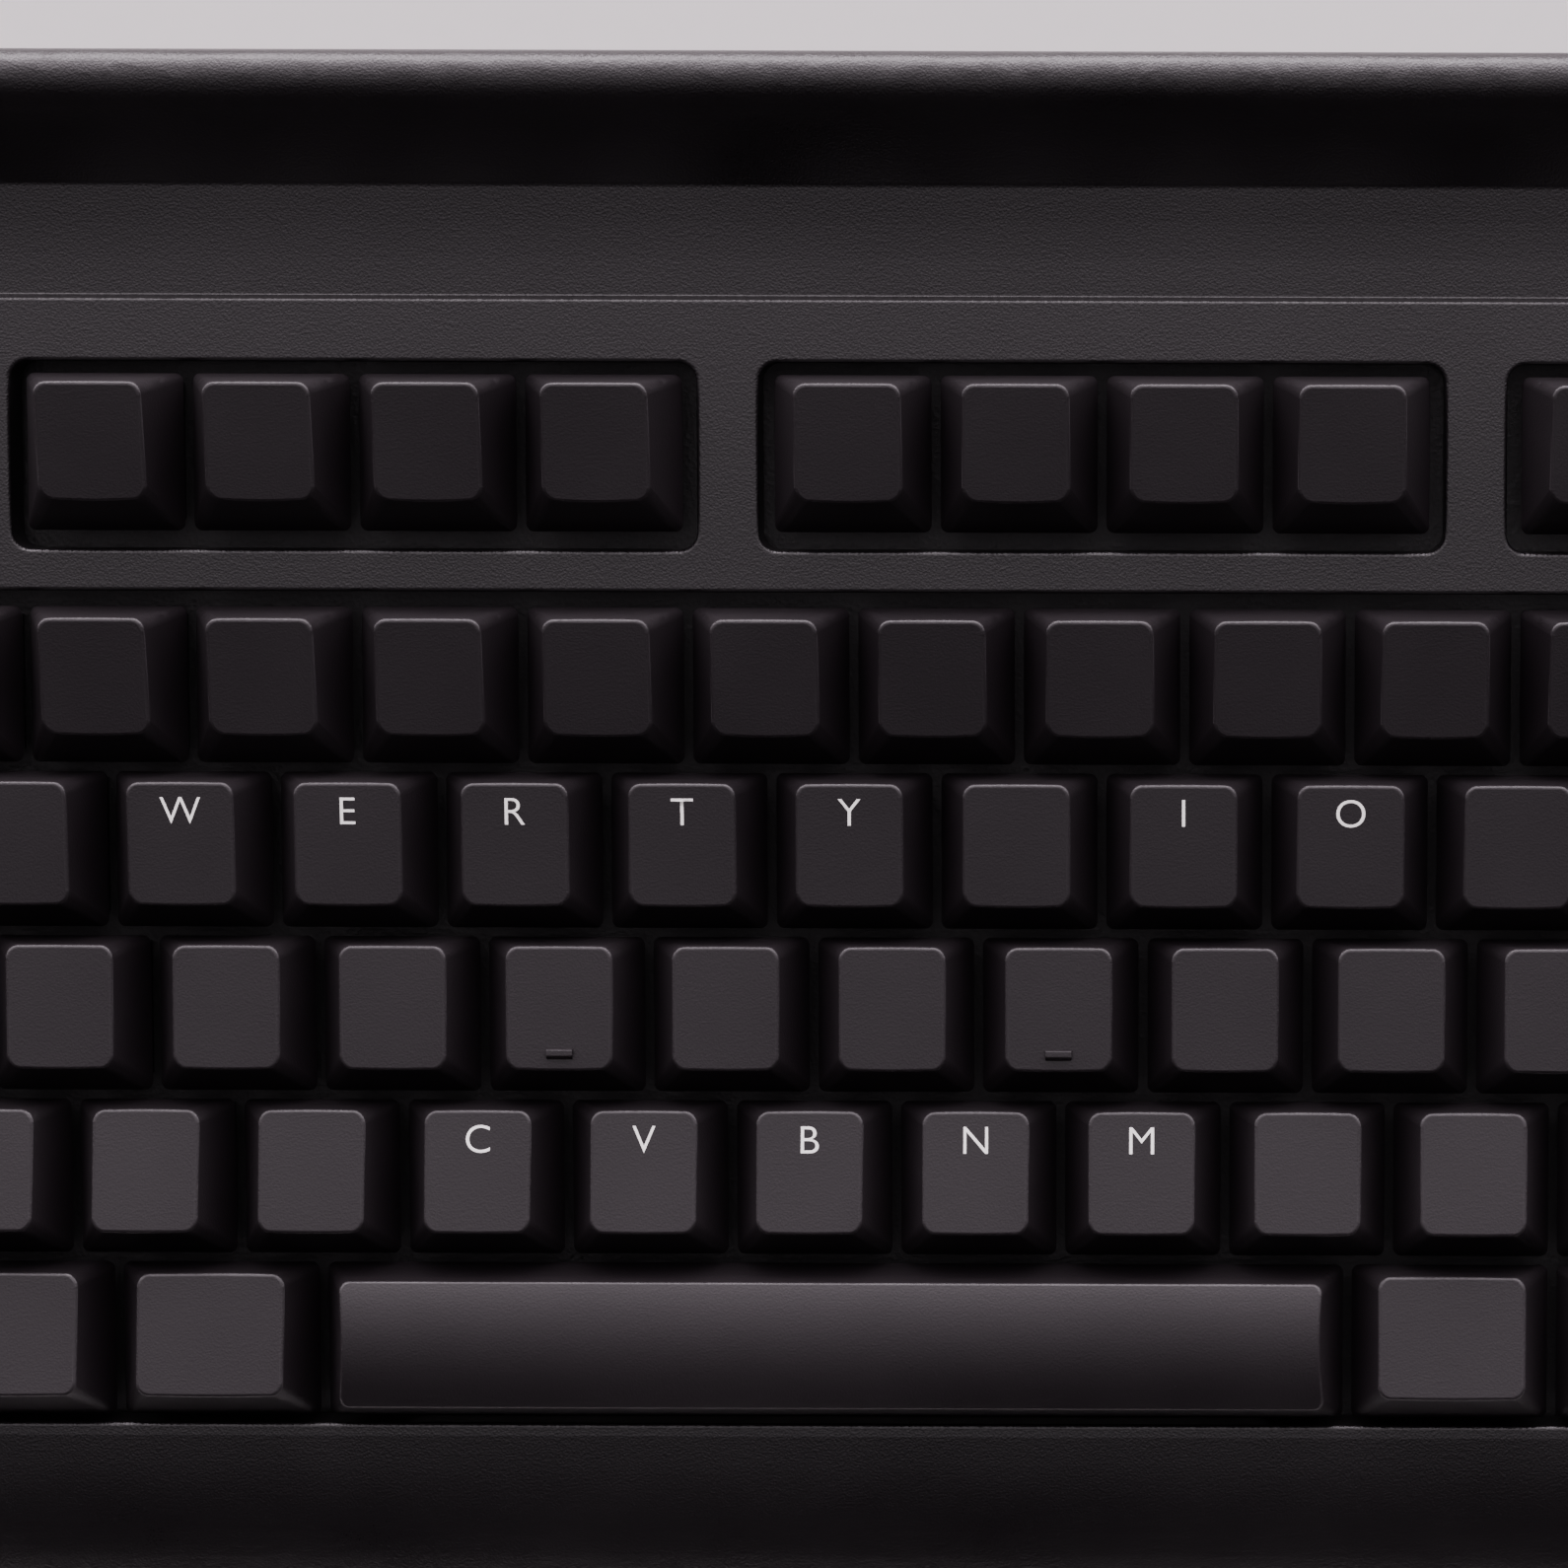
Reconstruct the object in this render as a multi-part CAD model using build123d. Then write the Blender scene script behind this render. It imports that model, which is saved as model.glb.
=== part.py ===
from build123d import *
from functools import cache
from typing import NamedTuple
import math
import os

# Mechanical keyboard, 87 keys, compact layout without a number pad.
#
# A two-piece moulded case holds a steel mounting plate with 87 key switches
# that are soldered to a circuit board. Each key is a hollow cap pressed on the
# cross of its switch stem. Wide keys ride on wire stabilizers. Two feet fold
# out of the underside.
#
# Row frame: +X to the right, +Y away from the typist, +Z up, origin on the
# desk under the middle of the case. The key plane is tilted about X by TILT.
# Most parts are drawn in the key frame (x, v, w): v runs away from the typist
# along the mounting plate, w is the plate's normal and is 0 on its top face.
# Switch and stabilizer parts are drawn round the centre of their own key.
# All lengths are in millimetres, all angles in degrees.

# ------------------------------------------------------------ driving sizes
PITCH = 19.05        # one key unit
MAIN_COLS = 15       # width of the main key block in units
NAV_COL = 15.25      # left edge of the navigation keys in units
COLS = NAV_COL + 3   # width of the key field in units
F_PITCH = 26.7       # number row to function row
TILT = 5.0           # slope of the key plane
PLATE_Z = 19.0       # height of the plate's top face under the home row

FRONT_V, REAR_V = -71.4, 110.6      # front and rear of the case
CASE_X = 188.0       # half width of the case
CASE_R = 7.0         # corner radius seen from above
WALL = 2.6           # shell thickness
INNER_R = CASE_R - 2.4              # corner radius inside the shells
PART_Z = 11.0        # height of the joint between the two shells
BOTTOM_Z = 1.5       # underside of the case, which stands on pads
FLOOR_Z = 4.0        # inside of the floor
DECK_W = 7.5         # deck above the plate

PLATE_T = 1.5
PCB_TOP, PCB_T = -5.0, 1.6
PCB_BOTTOM = PCB_TOP - PCB_T

# v of each row's centre and the profile of its caps
ROWS = {
    "f": (2 * PITCH + F_PITCH, 1),
    "n": (2 * PITCH, 1),
    "q": (PITCH, 2),
    "a": (0.0, 3),
    "z": (-PITCH, 4),
    "s": (-2 * PITCH, 4),
}

ORIGIN_Y = -(FRONT_V + REAR_V) / 2 * math.cos(math.radians(TILT))
PLACE = Pos(0, ORIGIN_Y, PLATE_Z) * Rot(TILT, 0, 0)      # key frame to row frame


def to_row(v, w):
    """key-frame (v, w) to row-frame (y, z)"""
    t = math.radians(TILT)
    y = v * math.cos(t) - w * math.sin(t) + ORIGIN_Y
    return (y, v * math.sin(t) + w * math.cos(t) + PLATE_Z)


def key_x(units):
    return (units - COLS / 2) * PITCH


CASE_FRONT = to_row(FRONT_V, -2.0)[0]
CASE_REAR = to_row(REAR_V, 11.0)[0]

# fixings: (x, y) in the row frame, or (x, v) for the plate
CASE_SCREWS = [
    (-168.0, -83.6), (0.0, -83.6), (168.0, -83.6),
    (-174.0, 68.6), (0.0, 68.6), (174.0, 68.6),
]
PLATE_SCREWS = [
    (-165.0, -51.8), (-60.0, -51.8), (60.0, -51.8), (165.0, -51.8),
    (-163.0, 79.2), (-60.0, 79.2), (44.0, 79.2), (163.0, 79.2),
]
PILOT_R = 1.45       # bores that the screws bite into
SCREW_GAP = 0.02     # between a screw's head and its seat
CASE_SEAT_Z = 3.3    # bearing face of the case screws
BOSS_Z = 4.7         # where the two shells' screw bosses meet

PAD_AT = [(-150.0, -80.0), (150.0, -80.0), (-100.0, 80.0), (100.0, 80.0)]
PAD_L, PAD_W, PAD_T = 24.0, 9.0, 2.3

FOOT_X, FOOT_W = 138.0, 34.0        # middle and width of a folding foot
HINGE_Y, HINGE_Z = 80.0, 4.6        # axis of its hinge
FOOT_L = 25.0                       # from the hinge to its end

LED_X, LED_V = [130.0, 142.0, 154.0], 89.2
LED_SPAN = LED_X[-1] - LED_X[0]
WINDOW_END = 6.0     # window beyond the outer lights
WINDOW_W, WINDOW_R = 4.0, 1.95
WINDOW_FIT = 0.1     # clearance in its slot

USB_X, USB_Z = 70.0, 20.0           # axis of the socket
USB_BOARD_Z = USB_Z - 2.6           # underside of its board
USB_SCREWS = [(USB_X + dx, CASE_REAR - 12.0) for dx in (-7.0, 7.0)]
HEADER_V = 51.2      # cable header on the main board

# ------------------------------------------------------------------- layout
STAB_WIDE, STAB_SPACE = 11.94, 50.0      # stabilizers from their key's middle
SPACE_WIDTH = 6.25


class Key(NamedTuple):
    node: str
    row: str
    left: float      # left edge in units
    width: float     # in units

    @property
    def x(self):
        return key_x(self.left + self.width / 2)

    @property
    def v(self):
        return ROWS[self.row][0]

    @property
    def place(self):
        return PLACE * Pos(self.x, self.v, 0)


def stab_offset(width):
    """distance of a stabilizer from the middle of its key, 0 for none"""
    if width == SPACE_WIDTH:
        return STAB_SPACE
    return STAB_WIDE if width >= 2 else 0.0


def letters(row, left, names):
    return [("key_" + c, row, left + i, [1]) for i, c in enumerate(names)]


# runs of keys: node, row, left edge in units, widths in units
LAYOUT = [
    ("escape_key", "f", 0, [1]),
    ("function_keys", "f", 2, [1] * 4),
    ("function_keys", "f", 6.5, [1] * 4),
    ("function_keys", "f", 11, [1] * 4),
    ("system_keys", "f", NAV_COL, [1] * 3),
    ("number_keys", "n", 0, [1] * 13),
    ("backspace_key", "n", 13, [2]),
    ("navigation_keys", "n", NAV_COL, [1] * 3),
    ("left_modifier_keys", "q", 0, [1.5]),
    *letters("q", 1.5, "qwertyuiop"),
    ("punctuation_keys", "q", 11.5, [1, 1, 1.5]),
    ("navigation_keys", "q", NAV_COL, [1] * 3),
    ("left_modifier_keys", "a", 0, [1.75]),
    *letters("a", 1.75, "asdfghjkl"),
    ("punctuation_keys", "a", 10.75, [1, 1]),
    ("enter_key", "a", 12.75, [2.25]),
    ("left_modifier_keys", "z", 0, [2.25]),
    *letters("z", 2.25, "zxcvbnm"),
    ("punctuation_keys", "z", 9.25, [1, 1, 1]),
    ("right_modifier_keys", "z", 12.25, [2.75]),
    ("arrow_keys", "z", NAV_COL + 1, [1]),
    ("left_modifier_keys", "s", 0, [1.25] * 3),
    ("space_bar", "s", 3.75, [SPACE_WIDTH]),
    ("right_modifier_keys", "s", 10, [1.25] * 4),
    ("arrow_keys", "s", NAV_COL, [1] * 3),
]
KEYS = [
    Key(name, row, left + sum(widths[:i]), width)
    for name, row, left, widths in LAYOUT
    for i, width in enumerate(widths)
]
HOMING_KEYS = ("key_f", "key_j")


# ------------------------------------------------------------------ helpers
def node(name, solids):
    """writes one sub-part, one or more separate solids"""
    shape = solids[0] if len(solids) == 1 else Compound(children=solids)
    shape.label = name
    export_step(shape, "parts/" + name + ".step")


def rounded(x0, x1, y0, y1, r, z):
    return Pos((x0 + x1) / 2, (y0 + y1) / 2, z) * RectangleRounded(x1 - x0, y1 - y0, r)


def post(r, z0, z1, x=0, y=0):
    return Pos(x, y, z0) * Cylinder(r, z1 - z0, align=(Align.CENTER, Align.CENTER, Align.MIN))


def block(size_x, size_y, z0, z1, x=0, y=0):
    align = (Align.CENTER, Align.CENTER, Align.MIN)
    return Pos(x, y, z0) * Box(size_x, size_y, z1 - z0, align=align)


def x_rod(r, length, y=0, z=0):
    return Pos(0, y, z) * Cylinder(r, length, rotation=(0, 90, 0))


def cross(z0, z1, span, thick_x, thick_y):
    """cross-shaped prism; thick_x is the thickness of the arm along x"""
    return block(span, thick_x, z0, z1) + block(thick_y, span, z0, z1)


def yz_face(points):
    return make_face(Polyline(*[Vector(0, y, z) for y, z in points], close=True))


def largest_round(body):
    """edges of the largest cylindrical face"""
    rounds = (f for f in body.faces() if f.geom_type == GeomType.CYLINDER)
    return max(rounds, key=lambda f: f.area).edges()


# --------------------------------------------------------------------- caps
CAP_W0 = 6.4         # rim of a cap above the plate, key up
CAP_BASE = 18.0      # outer size of a one-unit cap at its rim
CAP_TOP_W = 12.05    # width of its top
CAP_WALL = 1.45
RIM_R = 0.9          # corner radius at the rim
HOLLOW_DEPTH = 0.50  # depth of the finger hollow
LOFT_REACH = 1.16    # walls run on past the top by this factor before it is cut
CAP_CEILING, SPACE_CEILING = 5.2, 4.9

CROSS_SPAN = 4.0     # cross of a stem: arms and their thicknesses
CROSS_TX, CROSS_TY = 1.2, 1.1
CROSS_TOP = 10.2
STEM_TOP = 6.5       # body under the cross
STEM_FIT = 0.05      # clearance between the stem's cross and its socket

# sculpted tops by profile: y of the rear and front edges, their heights over the rim
CAP_TOPS = {
    1: (8.05, -5.10, 10.0, 7.2),
    2: (8.37, -5.60, 8.6, 7.4),
    3: (8.62, -5.42, 7.3, 7.6),
    4: (8.62, -5.18, 6.6, 8.5),
}


def cap_halves(width):
    """half widths along x of a cap's rim and top"""
    extra = (width - 1) * PITCH / 2
    return CAP_BASE / 2 + extra, CAP_TOP_W / 2 + extra


def hollow_out(body, width, ceiling):
    """takes out the inside of a cap and adds its socket posts"""
    x, y = cap_halves(width)[0] - CAP_WALL, CAP_BASE / 2 - CAP_WALL
    body = body - loft([
        rounded(-x, x, -y, y, 0.6, -0.01),
        rounded(-x + 1.85, x - 1.85, -y + 2.1, y - 0.45, 0.9, ceiling),
    ])
    offset_x = stab_offset(width)
    sockets = [-offset_x, 0.0, offset_x] if offset_x else [0.0]
    for x in sockets:
        if x == 0:
            socket = post(2.7, 0.2, ceiling + 0.3)
        else:
            socket = extrude(rounded(-2.5, 2.5, -2.95, 2.95, 0.7, 0.2), ceiling + 0.1)
        body = body + Pos(x, 0, 0) * socket
    fit = 2 * STEM_FIT
    for x in sockets:
        bore = cross(0.1, 4.0, CROSS_SPAN + fit, CROSS_TX + fit, CROSS_TY + fit)
        body = body - Pos(x, 0, 0) * bore
    return body


def make_cap(profile, width, homing):
    rear_y, front_y, rear_h, front_h = CAP_TOPS[profile]
    half_y = CAP_BASE / 2
    rim_x, top_x = cap_halves(width)
    # straight walls from the rim through the edges of the tilted top
    lid_rear_y, lid_rear_z = half_y - LOFT_REACH * (half_y - rear_y), LOFT_REACH * rear_h
    lid_front_y, lid_front_z = -half_y + LOFT_REACH * (half_y + front_y), LOFT_REACH * front_h
    run, rise = lid_rear_y - lid_front_y, lid_rear_z - lid_front_z
    lid_width = 2 * (rim_x - LOFT_REACH * (rim_x - top_x))
    lid = Pos(0, (lid_rear_y + lid_front_y) / 2, (lid_rear_z + lid_front_z) / 2)
    lid = lid * Rot(math.degrees(math.atan2(rise, run)), 0, 0)
    lid = lid * RectangleRounded(lid_width, math.hypot(rise, run), 1.7)
    body = loft([rounded(-rim_x, rim_x, -half_y, half_y, RIM_R, 0), lid])
    # finger hollow: a cylinder that lies along y, tilted with its row
    tilt = math.degrees(math.atan2(rear_h - front_h, rear_y - front_y))
    hollow_r = top_x * top_x / (2 * HOLLOW_DEPTH) + HOLLOW_DEPTH / 2
    seat = Pos(0, (rear_y + front_y) / 2, (rear_h + front_h) / 2 - HOLLOW_DEPTH) * Rot(tilt, 0, 0)
    body = body - seat * Pos(0, 0, hollow_r) * Cylinder(hollow_r, 60, rotation=(90, 0, 0))
    body = fillet(largest_round(body), 0.42)
    body = hollow_out(body, width, CAP_CEILING)
    if homing:
        # raised bar with round ends
        length, thick, z0, z1 = 2.3, 0.6, -0.6, 0.42
        bar = block(length, thick, z0, z1)
        for x in (-length / 2, length / 2):
            bar = bar + post(thick / 2, z0, z1, x)
        body = body + seat * Pos(0, -5.2, 0) * bar
    return body


def make_space(width):
    """cap with a top that is rounded from front to rear"""
    half_y = CAP_BASE / 2
    rim_x, top_x = cap_halves(width)
    body = loft([
        rounded(-rim_x, rim_x, -half_y, half_y, RIM_R, 0),
        rounded(-top_x, top_x, -6.15, 7.75, 1.4, 9.0),
    ])
    crown_r, crown_z = 19.0, 8.6
    body = body & x_rod(crown_r, 2 * rim_x + 20, 1.5, crown_z - crown_r)
    body = fillet(largest_round(body), 0.4)
    return hollow_out(body, width, SPACE_CEILING)


@cache
def cap_for(profile, width, homing):
    return make_space(width) if width == SPACE_WIDTH else make_cap(profile, width, homing)


# ----------------------------------------------------------------- switches
CONTACT_AT = [(-3.81, 3.5), (2.54, 5.08)]
CONTACT_W, CONTACT_T = 1.4, 0.25
SLOT_W, SLOT_T = 1.8, 0.6           # slots for the contacts
PIN_W = -8.3         # lower end of the contacts and the centre pin
HOUSING_FLOOR = -4.05
HOUSING_JOINT = 1.0  # between the lower and upper housings


def stem_cross():
    return cross(CAP_W0, CROSS_TOP, CROSS_SPAN, CROSS_TX, CROSS_TY)


def make_stem():
    """switch stem with its cross, key up"""
    stem = block(7.0, 5.6, 1.6, STEM_TOP) - post(2.15, 1.6, 5.5)
    stem = stem + post(0.9, -3.2, 5.8)
    return stem + stem_cross()


def make_slider(captive):
    """stabilizer slider, its slot holds the end of the wire"""
    slider = block(4.9, 5.8, 0.9, STEM_TOP)
    if captive:
        slider = slider - block(2.0, 5.0, 2.0, 4.8, y=-1.5)
    else:
        slider = slider - block(2.0, 7.0, 0.5, 6.1)
    return slider + stem_cross()


def make_lower_housing():
    body = block(13.9, 13.9, PCB_TOP, 0.5) + block(15.6, 15.6, 0.0, HOUSING_JOINT)
    body = body - block(11.6, 11.6, HOUSING_FLOOR, 1.5)
    # hollow centre pin
    body = body + post(1.95, PIN_W, HOUSING_FLOOR) - post(1.1, -7.8, -1.8)
    body = body - block(SLOT_T, SLOT_W, -5.5, -3.5, *CONTACT_AT[0])
    return body - block(SLOT_W, SLOT_T, -5.5, -3.5, *CONTACT_AT[1])


def make_upper_housing():
    body = loft([
        rounded(-7.6, 7.6, -7.6, 7.6, 0.8, HOUSING_JOINT),
        rounded(-5.5, 5.5, -5.2, 5.6, 0.8, 6.6),
    ])
    body = body - loft([
        rounded(-6.6, 6.6, -6.6, 6.6, 0.6, HOUSING_JOINT - 0.01),
        rounded(-4.7, 4.7, -4.4, 4.8, 0.6, 5.6),
    ])
    return body - block(7.6, 6.2, 4.0, 8.0)      # opening for the stem


def make_spring():
    """return spring from the floor up into the stem, as the sleeve that its coils fill"""
    return post(1.85, -3.9, 5.15) - post(1.45, -4.5, 5.5)


def make_contacts():
    return [
        block(CONTACT_T, CONTACT_W, PIN_W, 1.1, *CONTACT_AT[0]),
        block(CONTACT_W, CONTACT_T, PIN_W, 1.1, *CONTACT_AT[1]),
    ]


# -------------------------------------------------------------- stabilizers
WIRE_R = 0.7
WIRE_BEND = 1.6
BAR_V, BAR_W = -8.75, 1.4    # long bar of a stabilizer wire, from its key's centre
ARM = 8.6                    # its end arms
SPACE_ARM_ANGLE = 14.5       # rise of the space bar's arms, key up


def make_stab_housing():
    body = block(6.5, 11.6, -4.4, 5.6) + block(7.8, 13.4, 0.0, 1.0)
    body = body - block(5.3, 6.2, -3.4, 6.0)
    return body - block(2.2, 4.6, -1.7, 4.9, y=-4.6)     # slot for the wire


def make_wire(half_length, angle):
    a = math.radians(angle)
    end_v, end_w = BAR_V + ARM * math.cos(a), BAR_W + ARM * math.sin(a)
    path = FilletPolyline(
        (-half_length, end_v, end_w),
        (-half_length, BAR_V, BAR_W),
        (half_length, BAR_V, BAR_W),
        (half_length, end_v, end_w),
        radius=WIRE_BEND,
    )
    return sweep(Plane(origin=path @ 0, z_dir=path % 0) * Circle(WIRE_R), path=path)


# --------------------------------------------------------------------- case
# corners of the top shell's section, front to rear, as (y, z)
MID_FRONT, DECK_FRONT = to_row(-61.0, 4.9), to_row(-49.4, DECK_W)
STEP_TOP, STEP_FOOT = to_row(82.35, DECK_W), to_row(82.75, 5.9)
SHELF_MID = to_row(89.1, 6.2)
RIDGE_FOOT, RIDGE_FACE = to_row(95.4, 7.0), to_row(103.2, 12.9)
CREST, REAR_TOP = to_row(107.1, 14.9), (CASE_REAR - 0.3, to_row(REAR_V, 11.2)[1])

# key openings beyond the key field: sides, front, rear, and edges between key groups
OPEN_SIDE, OPEN_FRONT, OPEN_REAR, OPEN_INNER = 1.0, 9.8, 10.8, 10.5
F_OPEN_SIDE, F_OPEN_FRONT, F_OPEN_REAR = 1.2, 11.1, 10.4     # function row
F_GROUPS = [(0, 1), (2, 6), (6.5, 10.5), (11, 15), (NAV_COL, COLS)]
OPEN_R = 2.2
COLLAR_T = 1.5                      # walls round the key openings
COLLAR_W0, COLLAR_W1 = 1.8, 6.5     # their lower and upper ends


def outer_profile():
    """section of the closed top shell, drawn in the YZ plane"""
    def at(point):
        return Vector(0, *point)

    front_foot, rear_foot = (CASE_FRONT, PART_Z), (CASE_REAR, PART_Z)
    front_low = (CASE_FRONT + 0.2, PART_Z + 1.0)
    crest_tangents = [Vector(0, 0.72, 0.69), Vector(0, 0.06, -1.0)]
    face = make_face(Wire([
        Line(at(front_foot), at(front_low)),
        ThreePointArc(at(front_low), at(MID_FRONT), at(DECK_FRONT)),
        Line(at(DECK_FRONT), at(STEP_TOP)),
        Line(at(STEP_TOP), at(STEP_FOOT)),
        ThreePointArc(at(STEP_FOOT), at(SHELF_MID), at(RIDGE_FOOT)),
        Line(at(RIDGE_FOOT), at(RIDGE_FACE)),
        Spline(at(RIDGE_FACE), at(CREST), at(REAR_TOP), tangents=crest_tangents),
        Line(at(REAR_TOP), at(rear_foot)),
        Line(at(rear_foot), at(front_foot)),
    ]))
    for corner, r in ((STEP_TOP, 0.45), (STEP_FOOT, 0.25), (RIDGE_FOOT, 1.2)):
        near = [v for v in face.vertices() if (v.center() - at(corner)).length < 0.01]
        face = fillet(near, r)
    return face


def inner_profile():
    """section of the hollow in the top shell"""
    return yz_face([
        (CASE_FRONT + WALL, PART_Z - 1), (CASE_FRONT + WALL, PART_Z + 0.8),
        to_row(-62.5, 0.6), to_row(-57.5, 3.0), to_row(-50.0, 4.9),
        to_row(82.0, 4.9), to_row(82.8, 3.4), to_row(96.6, 3.1),
        to_row(103.6, 9.7), to_row(106.3, 11.7),
        (CASE_REAR - WALL - 0.3, to_row(REAR_V - 2.9, 9.6)[1]), (CASE_REAR - WALL, PART_Z - 1),
    ])


def plan(inset, r, z0, z1):
    """prism with the case's outline, set in from its walls"""
    outline = RectangleRounded(2 * (CASE_X - inset), CASE_REAR - CASE_FRONT - 2 * inset, r)
    return extrude(Pos(0, (CASE_FRONT + CASE_REAR) / 2, z0) * outline, z1 - z0)


def key_prism(rect, r, w0, w1, grow=0.0):
    """prism square to the plate; rect is (x0, x1, v0, v1)"""
    x0, x1, v0, v1 = rect
    outline = rounded(x0 - grow, x1 + grow, v0 - grow, v1 + grow, r, w0)
    return PLACE * extrude(outline, w1 - w0)


def openings():
    """rectangular key openings in the deck: (x0, x1, v0, v1)"""
    f_v, n_v, q_v, s_v = (ROWS[r][0] for r in "fnqs")
    rects = [
        (key_x(i) - F_OPEN_SIDE, key_x(j) + F_OPEN_SIDE, f_v - F_OPEN_FRONT, f_v + F_OPEN_REAR)
        for i, j in F_GROUPS
    ]
    for i, j, v0 in ((0, MAIN_COLS, s_v - OPEN_FRONT), (NAV_COL, COLS, q_v - OPEN_INNER)):
        rects.append((key_x(i) - OPEN_SIDE, key_x(j) + OPEN_SIDE, v0, n_v + OPEN_REAR))
    return rects


def arrow_sketch(grow, r):
    """inverted-T opening round the arrow keys"""
    z_v, s_v = ROWS["z"][0], ROWS["s"][0]
    side = OPEN_SIDE + grow
    x0, x1 = key_x(NAV_COL) - side, key_x(NAV_COL + 1) - side
    x2, x3 = key_x(NAV_COL + 2) + side, key_x(COLS) + side
    v0, v1, v2 = s_v - OPEN_FRONT - grow, s_v + OPEN_INNER + grow, z_v + OPEN_REAR + grow
    corners = [(x0, v0), (x3, v0), (x3, v1), (x2, v1), (x2, v2), (x1, v2), (x1, v1), (x0, v1)]
    face = make_face(Polyline(*corners, close=True))
    return fillet(face.vertices(), r)


def shell_rim(body):
    """side edges of the deck, the shelf and the ridge, without the short ones at the step"""
    rim = [
        e for e in body.edges()
        if e.center().Z > PART_Z + 2 and abs(e.center().X) > CASE_X - CASE_R
    ]
    rim = [
        e for e in rim
        if abs(abs(e.center().X) - CASE_X) < 0.05 or e.geom_type == GeomType.BSPLINE
    ]
    step_y0, step_y1 = STEP_TOP[0] - 0.9, STEP_FOOT[0] + 0.7
    return [
        e for e in rim
        if e.length > 2.5 or (e.length > 1.0 and not step_y0 < e.center().Y < step_y1)
    ]


def build_top_case():
    body = extrude(outer_profile(), CASE_X, both=True)
    body = body & plan(0, CASE_R, PART_Z, 60)
    body = fillet(shell_rim(body), 0.4)
    # key openings, with a small round on their upper edges
    rects = openings()
    tools = [key_prism(rect, OPEN_R, -20, 30) for rect in rects]
    tools.append(PLACE * Pos(0, 0, -20) * extrude(arrow_sketch(0, OPEN_R), 50))
    body = body - tools
    flats = (
        f for f in body.faces() if f.geom_type == GeomType.PLANE and f.normal_at().Z > 0.99
    )
    deck = max(flats, key=lambda f: f.area)
    body = fillet([e for w in deck.inner_wires() for e in w.edges()], 0.5)
    # hollow, with walls left standing round the openings
    cavity = extrude(inner_profile(), CASE_X - WALL, both=True)
    cavity = cavity & plan(WALL, INNER_R, PART_Z - 1, 60)
    collars = [key_prism(rect, 3.6, COLLAR_W0, COLLAR_W1, grow=COLLAR_T) for rect in rects]
    arrow_collar = extrude(arrow_sketch(COLLAR_T, 2.0), COLLAR_W1 - COLLAR_W0)
    collars.append(PLACE * Pos(0, 0, COLLAR_W0) * arrow_collar)
    body = body - (cavity - collars)
    # rabbet for the lower shell's lip
    rabbet = plan(1.2, CASE_R - 1.1, PART_Z - 1, PART_Z + 1.3)
    body = body - (rabbet - plan(WALL + 0.5, CASE_R - 3, PART_Z - 2, PART_Z + 3))
    # screw bosses
    for x, y in CASE_SCREWS:
        body = body + post(3.6, BOSS_Z, 13.8 if y < 0 else 30.6, x, y)
        body = body - post(PILOT_R, 4.0, 13.2, x, y)
    # slot of the status window
    end, half_w = WINDOW_END + WINDOW_FIT, WINDOW_W / 2 + WINDOW_FIT
    slot = (LED_X[0] - end, LED_X[-1] + end, LED_V - half_w, LED_V + half_w)
    body = body - key_prism(slot, WINDOW_R + WINDOW_FIT, 0, 12)
    # port of the socket
    port = extrude(RectangleRounded(10.0, 4.2, 2.0), 8, both=True)
    return body - Pos(USB_X, CASE_REAR, USB_Z) * Rot(90, 0, 0) * port


def foot_pocket(x, grow, z0, z1):
    y0, y1 = HINGE_Y - FOOT_L - 1.2 - grow, HINGE_Y + 4.2 + grow
    return block(FOOT_W + 1.0 + 2 * grow, y1 - y0, z0, z1, x, (y0 + y1) / 2)


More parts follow.
